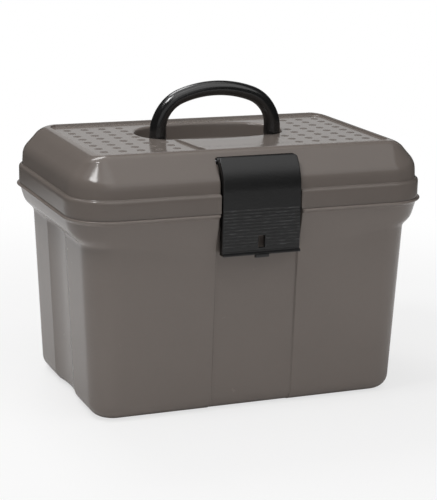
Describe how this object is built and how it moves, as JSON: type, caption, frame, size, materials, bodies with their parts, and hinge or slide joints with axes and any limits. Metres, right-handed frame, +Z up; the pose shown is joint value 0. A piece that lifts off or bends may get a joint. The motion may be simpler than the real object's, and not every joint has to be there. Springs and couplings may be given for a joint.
{
  "type": "horse grooming box",
  "caption": "Moulded grooming box with a flared collar, hinged dome lid, bent snap latch, folding carry handle in an oval hand well and a lift-out tray.",
  "frame": {"origin": "on the floor under the middle of the tub", "axes": "+X to the right along the box, +Y to the hinges at the back, +Z up"},
  "size_m": [0.4, 0.2727, 0.3325],
  "materials": {
    "shell": "glossy moulded taupe plastic",
    "latch": "fine-grained black plastic",
    "handle": "smooth black plastic",
    "tray": "plain moulded grey plastic",
    "pin": "bright drawn steel"
  },
  "bodies": {
    "base": {"tub": "shell", "hinge_pin_left": "pin", "hinge_pin_right": "pin"},
    "lid": {"lid": "shell", "latch_pin": "pin"},
    "latch": {"latch": "latch"},
    "handle": {"carry_handle": "handle", "handle_pin_left": "pin", "handle_pin_right": "pin"},
    "tray": {"lift_out_tray": "tray"}
  },
  "joints": [
    {"name": "lid_hinge", "type": "hinge", "parent": "base", "child": "lid", "pos_m": [0, 0.1363, 0.2135], "axis": [-1, 0, 0], "range_deg": [0, 105]},
    {"name": "latch_flip", "type": "hinge", "parent": "lid", "child": "latch", "pos_m": [0, -0.10531, 0.26665], "axis": [-1, 0, 0], "range_deg": [0, 80]},
    {"name": "handle_fold", "type": "hinge", "parent": "lid", "child": "handle", "pos_m": [0, 0.00447, 0.2635], "axis": [-1, 0, 0], "range_deg": [0, 88]},
    {"name": "tray_lift", "type": "slide", "parent": "base", "child": "tray", "axis": [0, 0, 1], "range_m": [0, 0.03]}
  ]
}
